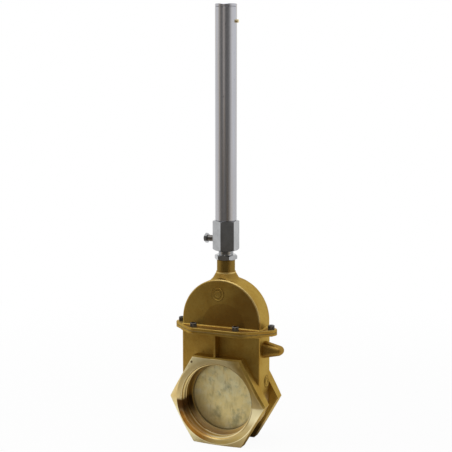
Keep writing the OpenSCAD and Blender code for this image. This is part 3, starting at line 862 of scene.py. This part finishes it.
@dataclass
class Workshop:
    """Turns meshes into finished pieces that ride on the valve."""

    finishes: Finishes
    merge_distance: float = 0.002 * MM
    flat_angle: float = math.radians(0.4)
    level_slack: float = 0.02 * MM
    level_normal: float = 0.9

    def copy_of(self, node: str) -> bmesh.types.BMesh:
        """Copies a CAD node's mesh, with its loose triangles merged.

        Args:
            node: The node's name.

        Returns:
            A closed mesh at the node's place.
        """
        mesh = bmesh.new()
        mesh.from_mesh(frame["nodes"][node].data)
        bmesh.ops.remove_doubles(mesh, verts=mesh.verts, dist=self.merge_distance)
        bmesh.ops.dissolve_limit(mesh, angle_limit=self.flat_angle, verts=mesh.verts, edges=mesh.edges)
        return mesh

    def spun(
        self,
        section: list[Vector],
        centre: Vector,
        axis: Vector,
        steps: int,
        turns: float = 1.0,
        rise: float = 0.0,
    ) -> bmesh.types.BMesh:
        """Spins a closed section about an axis, into a ring or a helix.

        Args:
            section: The corners of the section, in order.
            centre: A point on the axis.
            axis: The axis, one unit long.
            steps: Steps in one turn.
            turns: How many turns it makes.
            rise: How far it climbs along the axis in a turn, or 0 for a ring.

        Returns:
            The closed mesh.
        """
        mesh = bmesh.new()
        corners = [mesh.verts.new(corner) for corner in section]
        sides = [mesh.edges.new(pair) for pair in zip(corners, corners[1:] + corners[:1])]
        bmesh.ops.spin(
            mesh,
            geom=corners + sides,
            cent=centre,
            axis=axis,
            dvec=axis * (rise / steps),
            angle=math.tau * turns,
            steps=round(steps * turns),
            use_merge=rise == 0,
        )
        if rise:
            bmesh.ops.holes_fill(mesh, edges=mesh.edges, sides=0)
        bmesh.ops.recalc_face_normals(mesh, faces=mesh.faces)
        return mesh

    def joined(self, first: bmesh.types.BMesh, *others: bmesh.types.BMesh) -> bmesh.types.BMesh:
        """Joins closed meshes into the first one, and frees the others."""
        for other in others:
            data = bpy.data.meshes.new("joined")
            other.to_mesh(data)
            other.free()
            first.from_mesh(data)
            bpy.data.meshes.remove(data)
        return first

    def at_both_ports(self, mesh: bmesh.types.BMesh) -> bmesh.types.BMesh:
        """Adds a copy of a front port's detail, turned round to the rear port."""
        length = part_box("body_casting")[1].y
        twin = mesh.copy()
        half_turn = Matrix.Rotation(math.pi, 3, "Z")
        bmesh.ops.rotate(twin, verts=twin.verts, cent=(0.0, length / 2, 0.0), matrix=half_turn)
        return self.joined(mesh, twin)

    def round_rim(self, mesh: bmesh.types.BMesh, level: float, width: float, segments: int = 4) -> None:
        """Rounds the outermost rim at one height, where an upright face meets a level one.

        Args:
            mesh: The casting.
            level: The height of the edge, in metres.
            width: Width of the round.
            segments: Its segments.
        """
        ring = {
            edge
            for edge in mesh.edges
            if len(edge.link_faces) == 2
            and all(abs(vert.co.z - level) < self.level_slack for vert in edge.verts)
            and sorted(abs(face.normal.z) > self.level_normal for face in edge.link_faces) == [False, True]
        }
        if not ring:
            log.warning("no rim at %.4f m", level)
            return
        first = max(ring, key=lambda edge: max(vert.co.x for vert in edge.verts))
        rim, fresh = {first}, [first]
        while fresh:
            edge = fresh.pop()
            for vert in edge.verts:
                for other in vert.link_edges:
                    if other in ring and other not in rim:
                        rim.add(other)
                        fresh.append(other)
        bmesh.ops.bevel(
            mesh,
            geom=list(rim),
            offset=width,
            offset_type="OFFSET",
            affect="EDGES",
            segments=segments,
            profile=0.5,
            material=-1,
            clamp_overlap=True,
        )

    def piece(
        self,
        mesh: bmesh.types.BMesh,
        name: str,
        body: Body,
        slot: Slot,
        soften: float = 0.0,
        rounds: int = 2,
        smooth_angle: float = math.radians(28),
    ) -> bpy.types.Object:
        """Makes a finished piece of a mesh.

        Args:
            mesh: The shape, in its place. It is freed.
            name: The piece's name.
            body: The body that the piece rides on.
            slot: The slot whose finish it takes.
            soften: Width of the bevel on its edges in metres, or 0 for none.
            rounds: Segments of that bevel.
            smooth_angle: The angle past which an edge is sharp.

        Returns:
            The new object.
        """
        data = bpy.data.meshes.new(name)
        mesh.to_mesh(data)
        mesh.free()
        data.materials.append(self.finishes.materials[slot])
        data.polygons.foreach_set("use_smooth", [True] * len(data.polygons))
        data.set_sharp_from_angle(angle=smooth_angle)
        made = bpy.data.objects.new(name, data)
        bpy.context.scene.collection.objects.link(made)
        if soften > 0:
            bevel = made.modifiers.new("soft_edges", "BEVEL")
            bevel.width = soften
            bevel.segments = rounds
            bevel.limit_method = "ANGLE"
            bevel.angle_limit = smooth_angle
            bevel.harden_normals = True
            bevel.use_clamp_overlap = True
        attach(made, body.value)
        log.info("%s: %d faces", name, len(data.polygons))
        return made

    def softened(self, node: str, body: Body, soften: float, rounds: int = 2) -> bpy.types.Object:
        """Replaces a CAD node by a copy with softened edges.

        Args:
            node: The node's name.
            body: The body that it belongs to.
            soften: Width of the bevel on its edges in metres.
            rounds: Segments of that bevel.

        Returns:
            The piece that stands for the node.
        """
        return self.stand_in(self.copy_of(node), node, body, soften, rounds)

    def stand_in(
        self,
        mesh: bmesh.types.BMesh,
        node: str,
        body: Body,
        soften: float = 0.0,
        rounds: int = 2,
        smooth_angle: float = math.radians(28),
    ) -> bpy.types.Object:
        """Puts a finished mesh in a CAD node's place.

        Args:
            mesh: The shape, in its place. It is freed.
            node: The node's name.
            body: The body that it belongs to.
            soften: Width of the bevel on its edges in metres.
            rounds: Segments of that bevel.
            smooth_angle: The angle past which an edge is sharp.

        Returns:
            The piece that stands for the node.
        """
        slot = self.finishes.slots[node]
        made = self.piece(mesh, f"{node}_dressed", body, slot, soften, rounds, smooth_angle)
        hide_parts(node)
        return made


def centre_of(node: str) -> Vector:
    """Gives the middle of a CAD node's box."""
    low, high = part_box(node)
    return (low + high) / 2


# --------------------------------------------------------------- sub-assemblies


@dataclass
class Castings:
    """Body and bonnet, with the soft edges of sand castings."""

    workshop: Workshop
    edge: float = 0.8 * MM
    body_flange_t: float = 3.6 * MM
    bonnet_flange_t: float = 4.4 * MM
    rim_round: float = 1.3 * MM
    foot_round: float = 0.8 * MM
    face_sink: float = 0.4 * MM
    face_slack: float = 0.01 * MM
    rounds: int = 3

    def build(self) -> None:
        """Makes both castings."""
        self._body()
        self._bonnet()

    def _body(self) -> None:
        """Makes the body, with its flange rounded and its port faces set back for the turned rings."""
        mesh = self.workshop.copy_of("body_casting")
        low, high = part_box("body_casting")
        for vert in mesh.verts:
            if vert.co.y < low.y + self.face_slack:
                vert.co.y += self.face_sink
            elif vert.co.y > high.y - self.face_slack:
                vert.co.y -= self.face_sink
        self.workshop.round_rim(mesh, high.z, self.rim_round)
        self.workshop.round_rim(mesh, high.z - self.body_flange_t, self.rim_round)
        self.workshop.stand_in(mesh, "body_casting", Body.VALVE, self.edge, self.rounds)

    def _bonnet(self) -> None:
        """Makes the bonnet, with its flange rounded."""
        mesh = self.workshop.copy_of("bonnet_casting")
        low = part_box("bonnet_casting")[0]
        self.workshop.round_rim(mesh, low.z + self.bonnet_flange_t, self.rim_round)
        self.workshop.round_rim(mesh, low.z, self.foot_round)
        self.workshop.stand_in(mesh, "bonnet_casting", Body.VALVE, self.edge, self.rounds)


@dataclass
class PortDetail:
    """Turned rings on the port faces and pipe threads in the bores."""

    workshop: Workshop
    face_inner_r: float = 58.0 * MM
    face_outer_r: float = 65.2 * MM
    groove_pitch: float = 0.8 * MM
    groove_depth: float = 0.16 * MM
    ring_t: float = 0.7 * MM
    wall_r: float = 56.5 * MM
    thread_h: float = 1.35 * MM
    thread_pitch: float = 2.309 * MM
    thread_start: float = 2.4 * MM
    thread_end: float = 17.0 * MM
    thread_sunk: float = 0.3 * MM
    root_share: float = 0.46
    crest_share: float = 0.08
    steps: int = 144
    smooth_angle: float = math.radians(60)

    def build(self) -> None:
        """Makes the turned faces and the threads."""
        self._faces()
        self._threads()

    def _faces(self) -> None:
        """Makes the ring of fine grooves on each port face."""
        count = round((self.face_outer_r - self.face_inner_r) / self.groove_pitch)
        pitch = (self.face_outer_r - self.face_inner_r) / count
        section = [Vector((self.face_inner_r, self.ring_t, 0.0))]
        for turn in range(count):
            crest = self.face_inner_r + turn * pitch
            section.append(Vector((crest, 0.0, 0.0)))
            section.append(Vector((crest + pitch / 2, self.groove_depth, 0.0)))
        section.append(Vector((self.face_outer_r, 0.0, 0.0)))
        section.append(Vector((self.face_outer_r, self.ring_t, 0.0)))
        mesh = self.workshop.spun(section, Vector(), ALONG_FLOW, self.steps)
        both = self.workshop.at_both_ports(mesh)
        angle = self.smooth_angle
        self.workshop.piece(both, "port_faces_turned", Body.VALVE, Slot.CAST_BRASS, smooth_angle=angle)

    def _threads(self) -> None:
        """Makes the pipe thread in each bore."""
        half = self.thread_pitch * self.root_share
        crest = self.thread_pitch * self.crest_share
        outer, inner = self.wall_r + self.thread_sunk, self.wall_r - self.thread_h
        start = self.thread_start + half
        section = [
            Vector((outer, start - half, 0.0)),
            Vector((inner, start - crest, 0.0)),
            Vector((inner, start + crest, 0.0)),
            Vector((outer, start + half, 0.0)),
        ]
        turns = (self.thread_end - self.thread_start) / self.thread_pitch - 1
        mesh = self.workshop.spun(section, Vector(), ALONG_FLOW, self.steps, turns, self.thread_pitch)
        both = self.workshop.at_both_ports(mesh)
        self.workshop.piece(both, "port_threads", Body.VALVE, Slot.CAST_BRASS)


@dataclass
class Roundels:
    """Plain raised rings cast on the bonnet's front and the body's right side."""

    workshop: Workshop
    proud: float = 0.8 * MM
    sunk: float = 0.5 * MM
    shoulder_width: float = 0.2
    shoulder_height: float = 0.8
    steps: int = 48
    smooth_angle: float = math.radians(70)

    def build(self) -> None:
        """Makes both roundels."""
        for roundel in ROUNDELS:
            mesh = self.workshop.joined(*(self._ring(roundel, *ring) for ring in roundel.rings()))
            angle = self.smooth_angle
            self.workshop.piece(mesh, roundel.name, Body.VALVE, Slot.CAST_BRASS, smooth_angle=angle)

    def _ring(self, roundel: Roundel, inner: float, outer: float) -> bmesh.types.BMesh:
        """Makes one ring.

        Args:
            roundel: The roundel that it belongs to.
            inner: Its inner radius.
            outer: Its outer radius.

        Returns:
            The ring's mesh.
        """
        place, out = roundel.place, roundel.out
        ease = roundel.band * self.shoulder_width
        section = [
            place + UP * inner - out * self.sunk,
            place + UP * (inner + ease) + out * self.proud * self.shoulder_height,
            place + UP * ((inner + outer) / 2) + out * self.proud,
            place + UP * (outer - ease) + out * self.proud * self.shoulder_height,
            place + UP * outer - out * self.sunk,
        ]
        return self.workshop.spun(section, place, out, self.steps)


@dataclass
class CapScrews:
    """Socket-head cap screws with knurled heads."""

    workshop: Workshop
    head_r: float = 5.0 * MM
    head_h: float = 6.0 * MM
    knurls: int = 30
    knurl_depth: float = 0.35 * MM
    bevel: float = 0.7 * MM
    socket_af: float = 5.0 * MM
    socket_depth: float = 3.0 * MM
    shank_r: float = 3.0 * MM
    shank_steps: int = 24
    thread_pitch: float = 1.0 * MM
    thread_h: float = 0.45 * MM
    thread_turns: int = 5

    def build(self) -> None:
        """Makes every screw of the flange."""
        for node in frame["nodes"]:
            if node.startswith("screw_"):
                self._screw(node)

    def _screw(self, node: str) -> None:
        """Makes one screw in its node's place."""
        low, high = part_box(node)
        middle = (low + high) / 2
        seat = Vector((middle.x, middle.y, high.z - self.head_h))
        mesh = self.workshop.joined(self._head(seat), self._shank(seat, low.z))
        self.workshop.stand_in(mesh, node, Body.VALVE)

    def _head(self, seat: Vector) -> bmesh.types.BMesh:
        """Makes the knurled head with its socket.

        Args:
            seat: The middle of the head's underside.

        Returns:
            The head's mesh.
        """
        mesh = bmesh.new()
        count = 2 * self.knurls
        made = bmesh.ops.create_circle(mesh, segments=count, radius=self.head_r, cap_ends=True)
        for vert in made["verts"][::2]:
            vert.co *= 1 - self.knurl_depth / self.head_r
        face = mesh.faces[:][0]
        levels = ((self.head_h - self.bevel, 1.0), (self.bevel, 1 - self.bevel / self.head_r))
        for rise, shrink in levels:
            top = bmesh.ops.extrude_face_region(mesh, geom=[face])["geom"]
            verts = [item for item in top if isinstance(item, bmesh.types.BMVert)]
            bmesh.ops.translate(mesh, verts=verts, vec=UP * rise)
            bmesh.ops.scale(mesh, verts=verts, vec=(shrink, shrink, 1.0))
            face = next(item for item in top if isinstance(item, bmesh.types.BMFace))
        rim = face.edges[:]
        bmesh.ops.delete(mesh, geom=[face], context="FACES_ONLY")
        corner_r = self.socket_af / 2 / math.cos(math.pi / 6)
        hexagon = bmesh.ops.create_circle(mesh, segments=6, radius=corner_r)
        sides = list({edge for vert in hexagon["verts"] for edge in vert.link_edges})
        cut = bmesh.ops.subdivide_edges(mesh, edges=sides, cuts=count // 6 - 1)
        inner = list({item for item in cut["geom"] if isinstance(item, bmesh.types.BMEdge)})
        corners = list({vert for edge in inner for vert in edge.verts})
        bmesh.ops.translate(mesh, verts=corners, vec=UP * self.head_h)
        bmesh.ops.bridge_loops(mesh, edges=rim + inner)
        wall = bmesh.ops.extrude_edge_only(mesh, edges=inner)["geom"]
        floor = [item for item in wall if isinstance(item, bmesh.types.BMVert)]
        bmesh.ops.translate(mesh, verts=floor, vec=-UP * self.socket_depth)
        bmesh.ops.holes_fill(mesh, edges=mesh.edges, sides=0)
        bmesh.ops.recalc_face_normals(mesh, faces=mesh.faces)
        bmesh.ops.translate(mesh, verts=mesh.verts, vec=seat)
        return mesh

    def _shank(self, seat: Vector, end: float) -> bmesh.types.BMesh:
        """Makes the shank, threaded at its end.

        Args:
            seat: The middle of the head's underside.
            end: The height of the shank's end.

        Returns:
            The shank's mesh.
        """
        foot = Vector((seat.x, seat.y, end))
        root = ACROSS * (self.shank_r - self.thread_h)
        section = [foot, foot + root]
        for turn in range(self.thread_turns):
            rise = (turn + 0.5) * self.thread_pitch
            section.append(foot + ACROSS * self.shank_r + UP * rise)
            section.append(foot + root + UP * (rise + self.thread_pitch / 2))
        top = seat + UP * self.bevel
        section += [top + root, top]
        mesh = self.workshop.spun(section, foot, UP, self.shank_steps)
        bmesh.ops.remove_doubles(mesh, verts=mesh.verts, dist=self.workshop.merge_distance)
        bmesh.ops.recalc_face_normals(mesh, faces=mesh.faces)
        return mesh


@dataclass
class Gate:
    """The sliding gate."""

    workshop: Workshop
    edge: float = 0.4 * MM

    def build(self) -> None:
        """Makes the gate's plate."""
        self.workshop.softened("gate_blade", Body.GATE, self.edge)


@dataclass
class Cylinder:
    """Head, lock nut, tube, end cap, breather and hydraulic nipple."""

    workshop: Workshop
    edge: float = 0.35 * MM
    cap_edge: float = 0.12 * MM
    tube_wall: float = 2.5 * MM
    tube_edge: float = 0.7 * MM
    tube_steps: int = 128
    spigot_r: float = 10.7 * MM
    thread_h: float = 0.55 * MM
    thread_pitch: float = 1.5 * MM
    thread_sunk: float = 0.2 * MM
    thread_turns: float = 3.4
    thread_start: float = 0.7
    root_share: float = 0.45
    crest_share: float = 0.1
    thread_steps: int = 64

    def build(self) -> None:
        """Makes the cylinder's pieces."""
        for node in ("lock_nut", "cylinder_head", "breather_plug"):
            self.workshop.softened(node, Body.VALVE, self.edge)
        self.workshop.softened("end_cap", Body.VALVE, self.cap_edge)
        for node in ("hydraulic_adapter", "hydraulic_nipple"):
            self.workshop.softened(node, Body.VALVE, self.edge)
        self._tube()
        self._spigot_thread()

    def _tube(self) -> None:
        """Makes the tube round, with eased ends."""
        low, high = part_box("cylinder_tube")
        middle = (low + high) / 2
        outer = (high.x - low.x) / 2
        inner, ease = outer - self.tube_wall, self.tube_edge
        foot = Vector((middle.x, middle.y, low.z))
        top = Vector((middle.x, middle.y, high.z))
        section = [
            foot + ACROSS * inner,
            foot + ACROSS * (outer - ease),
            foot + ACROSS * outer + UP * ease,
            top + ACROSS * outer - UP * ease,
            top + ACROSS * (outer - ease),
            top + ACROSS * inner,
        ]
        mesh = self.workshop.spun(section, foot, UP, self.tube_steps)
        self.workshop.stand_in(mesh, "cylinder_tube", Body.VALVE)

    def _spigot_thread(self) -> None:
        """Makes the thread that shows between the lock nut and the head."""
        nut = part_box("lock_nut")
        middle = (nut[0] + nut[1]) / 2
        start = Vector((middle.x, middle.y, nut[1].z + self.thread_pitch * self.thread_start))
        half, crest = self.thread_pitch * self.root_share, self.thread_pitch * self.crest_share
        inner = start + ACROSS * (self.spigot_r - self.thread_sunk)
        outer = start + ACROSS * (self.spigot_r + self.thread_h)
        section = [inner - UP * half, outer - UP * crest, outer + UP * crest, inner + UP * half]
        steps, turns = self.thread_steps, self.thread_turns
        mesh = self.workshop.spun(section, start, UP, steps, turns, self.thread_pitch)
        self.workshop.piece(mesh, "spigot_thread", Body.VALVE, Slot.ZINC_STEEL)


# ----------------------------------------------------------------------- studio


@dataclass(frozen=True)
class Lamp:
    """A square soft lamp. Gloss shows it only if it is mirrored. Its power is in watts."""

    name: str
    place: Vector
    size: float
    power: float
    mirrored: bool


@dataclass
class Studio:
    """Pale floor, white surroundings, soft lamps and the camera."""

    azimuth: float = math.radians(23.52)
    distance: float = 1.69975
    height: float = 0.5098
    pitch: float = math.radians(8.37)
    lens: float = 92.12
    sensor: float = 36.0
    fill: float = 0.55
    floor_half: float = 4.0
    floor_grey: Colour = (0.82, 0.82, 0.82)
    floor_glow: float = 0.95
    floor_fade: tuple[float, float] = (0.3, 1.1)
    floor_shade: tuple[float, float] = (0.045, 0.10)
    room_radius: float = 1.6
    room_top: float = 1.6
    table_near: float = 0.20
    table_lift: float = 2 * MM
    valve_y: float = 0.037
    lamp_aim_z: float = 0.15
    room_tint: Colour = (1.0, 0.97, 0.93)
    table_tint: Colour = (1.45, 1.14, 0.72)
    room_glow: Levels = (
        (-88, 1.0), (-76, 0.62), (-66, 0.33), (-48, 0.21), (-30, 0.21), (-10, 0.20),
        (24, 0.19), (36, 0.34), (50, 0.66), (60, 0.95), (72, 1.0),
    )
    table_glow: Levels = (
        (0.20, 1.0), (0.55, 1.0), (0.68, 0.55), (0.86, 0.62),
        (1.05, 1.0), (1.30, 0.9), (1.5, 0.5), (1.6, 0.5),
    )
    strip_glow: Colour = (0.66, 0.60, 0.54)
    strip_turn: Fade = Fade((-38.0, -28.0), (-18.0, -8.0))
    strip_height: Fade = Fade((0.12, 0.45))
    dark_foot: Colour = (0.09, 0.09, 0.09)
    foot_turn: Fade = Fade((-60.0, -50.0), (20.0, 32.0))
    foot_height: Fade = Fade(None, (0.0, 0.15))
    arc_steps: int = 48
    lamps: tuple[Lamp, ...] = (
        Lamp("lamp_above", Vector((-0.4, -0.3, 2.2)), 1.6, 14.0, True),
        Lamp("lamp_left", Vector((-2.0, -0.8, 0.9)), 1.4, 12.0, False),
    )

    def build(self) -> None:
        """Makes the whole studio."""
        self._view_settings()
        self._world()
        self._floor()
        self._room()
        for lamp in self.lamps:
            self._lamp(lamp)
        self._camera()

    def _view_settings(self) -> None:
        """Shows colours as they are written."""
        bpy.context.scene.view_settings.view_transform = "Standard"

    def _world(self) -> None:
        """Surrounds the valve with white that diffuse light gets only in part."""
        world = bpy.data.worlds.new("white_surroundings")
        s = Shader(world)
        strength = s.ray("Camera", "Glossy", "Transmission") * (1 - self.fill) + self.fill
        back = s.node("ShaderNodeBackground", {}, {"Color": (1.0, 1.0, 1.0), "Strength": strength})
        s.node("ShaderNodeOutputWorld", {}, {"Surface": back.outputs[0]})
        bpy.context.scene.world = world

    def _floor(self) -> None:
        """Lays the pale floor under the lowest point of the valve."""
        mesh = bmesh.new()
        bmesh.ops.create_grid(mesh, x_segments=1, y_segments=1, size=self.floor_half)
        bmesh.ops.translate(mesh, verts=mesh.verts, vec=(0.0, 0.0, CAD_BOX[0][2]))
        s = Shader(bpy.data.materials.new("pale_floor"))
        x, y, _ = s.split(s.place(Vector((0.0, self.valve_y, 0.0))))
        radius = (x * x + y * y).root()
        shown = radius.between(*self.floor_fade) * (1 - self.floor_glow) + self.floor_glow
        gloss = s.ray("Glossy", "Transmission") * radius.between(*self.floor_shade)
        seen = (s.ray("Camera") * shown).larger(gloss)
        matt = s.node("ShaderNodeBsdfDiffuse", {}, {"Color": self.floor_grey})
        glow = s.node("ShaderNodeEmission", {}, {"Color": (1.0, 1.0, 1.0), "Strength": 1.0})
        mixed = s.node("ShaderNodeMixShader", {}, {0: seen, 1: matt.outputs[0], 2: glow.outputs[0]})
        floor = self._placed("floor", mesh, s.surfaced(mixed))

    @staticmethod
    def _placed(name: str, mesh: bmesh.types.BMesh, material: bpy.types.Material) -> bpy.types.Object:
        """Makes an object of a mesh, which is freed, and puts it in the scene."""
        data = bpy.data.meshes.new(name)
        mesh.to_mesh(data)
        mesh.free()
        data.materials.append(material)
        made = bpy.data.objects.new(name, data)
        bpy.context.scene.collection.objects.link(made)
        return made

    def _room(self) -> None:
        """Hangs the dark side of the room and the brown table, which only the valve's gloss shows."""
        floor = CAD_BOX[0][2]
        foot = Vector((0.0, -self.room_radius, floor))
        wall = self._arc_card(foot, Vector((0.0, -self.room_radius, self.room_top)))
        self._card("dark_side", wall, self.room_tint, False)
        near = Vector((0.0, -self.table_near, floor + self.table_lift))
        table = self._arc_card(near, foot + UP * self.table_lift)
        self._card("dark_table", table, self.table_tint, True)

    def _arc_card(self, start: Vector, end: Vector) -> bmesh.types.BMesh:
        """Spins a line about the valve, from the room's left end to its right end.

        Args:
            start: One end of the line.
            end: Its other end.

        Returns:
            The strip that the line sweeps.
        """
        mesh = bmesh.new()
        ends = [mesh.verts.new(start), mesh.verts.new(end)]
        edge = mesh.edges.new(ends)
        left, right = (math.radians(self.room_glow[side][0]) for side in (0, -1))
        turn = Matrix.Rotation(self.azimuth + left, 3, "Z")
        bmesh.ops.rotate(mesh, verts=mesh.verts, cent=(0, 0, 0), matrix=turn)
        geom, steps = [*ends, edge], self.arc_steps
        bmesh.ops.spin(mesh, geom=geom, cent=(0, 0, 0), axis=UP, angle=right - left, steps=steps)
        return mesh

    def _card(self, name: str, mesh: bmesh.types.BMesh, tint: Colour, by_distance: bool) -> None:
        """Makes a mesh a glowing card that only glossy surfaces see.

        Args:
            name: The card's name.
            mesh: Its shape, which is freed.
            tint: Its colour where it glows fully.
            by_distance: Whether its glow also changes with the distance from the valve.
        """
        s = Shader(bpy.data.materials.new(f"{name}_glow"))
        x, y, z = s.split(s.place())
        turn = s.math("ARCTAN2", x, y * -1) * (180 / math.pi) - math.degrees(self.azimuth)
        colour = s.mix(tint, s.levels(turn, self.room_glow), 1.0, "MULTIPLY")
        foot = self.foot_turn.of(turn) * self.foot_height.of(z)
        colour = s.mix(colour, self.dark_foot, foot * 0.5)
        strip = self.strip_turn.of(turn) * self.strip_height.of(z)
        colour = s.mix(colour, self.strip_glow, strip)
        if by_distance:
            far = (x * x + y * y).root()
            colour = s.mix(colour, s.levels(far, self.table_glow), 1.0, "MULTIPLY")
        glow = s.node("ShaderNodeEmission", {}, {"Color": colour, "Strength": 1.0})
        card = self._placed(name, mesh, s.surfaced(glow))
        card.visible_camera = False
        card.visible_diffuse = False
        card.visible_shadow = False
        card.visible_transmission = False

    def _lamp(self, lamp: Lamp) -> None:
        """Hangs one lamp, facing the valve."""
        data = bpy.data.lights.new(lamp.name, "AREA")
        data.shape = "SQUARE"
        data.size = lamp.size
        data.energy = lamp.power
        made = bpy.data.objects.new(lamp.name, data)
        made.location = lamp.place
        target = Vector((0.0, self.valve_y, self.lamp_aim_z))
        made.rotation_euler = (target - lamp.place).to_track_quat("-Z", "Y").to_euler()
        made.visible_glossy = lamp.mirrored
        bpy.context.scene.collection.objects.link(made)

    def _camera(self) -> None:
        """Sets up the camera at the viewing angle."""
        data = bpy.data.cameras.new("camera")
        data.lens = self.lens
        data.sensor_width = self.sensor
        camera = bpy.data.objects.new("camera", data)
        middle = centre_of("gate_blade").y
        camera.location = (
            self.distance * math.sin(self.azimuth),
            middle - self.distance * math.cos(self.azimuth),
            self.height,
        )
        camera.rotation_euler = (math.pi / 2 - self.pitch, 0.0, self.azimuth)
        bpy.context.scene.collection.objects.link(camera)
        bpy.context.scene.camera = camera


def main() -> None:
    """Builds the valve's looks and the studio round it."""
    logging.basicConfig(level=logging.INFO, format="%(message)s")
    finishes = Finishes()
    finishes.dress_frame()
    workshop = Workshop(finishes)
    assemblies = (
        Castings(workshop),
        PortDetail(workshop),
        Roundels(workshop),
        CapScrews(workshop),
        Gate(workshop),
        Cylinder(workshop),
        Studio(),
    )
    for assembly in assemblies:
        assembly.build()
        log.info("%s built", type(assembly).__name__)


if __name__ == "__main__":
    main()
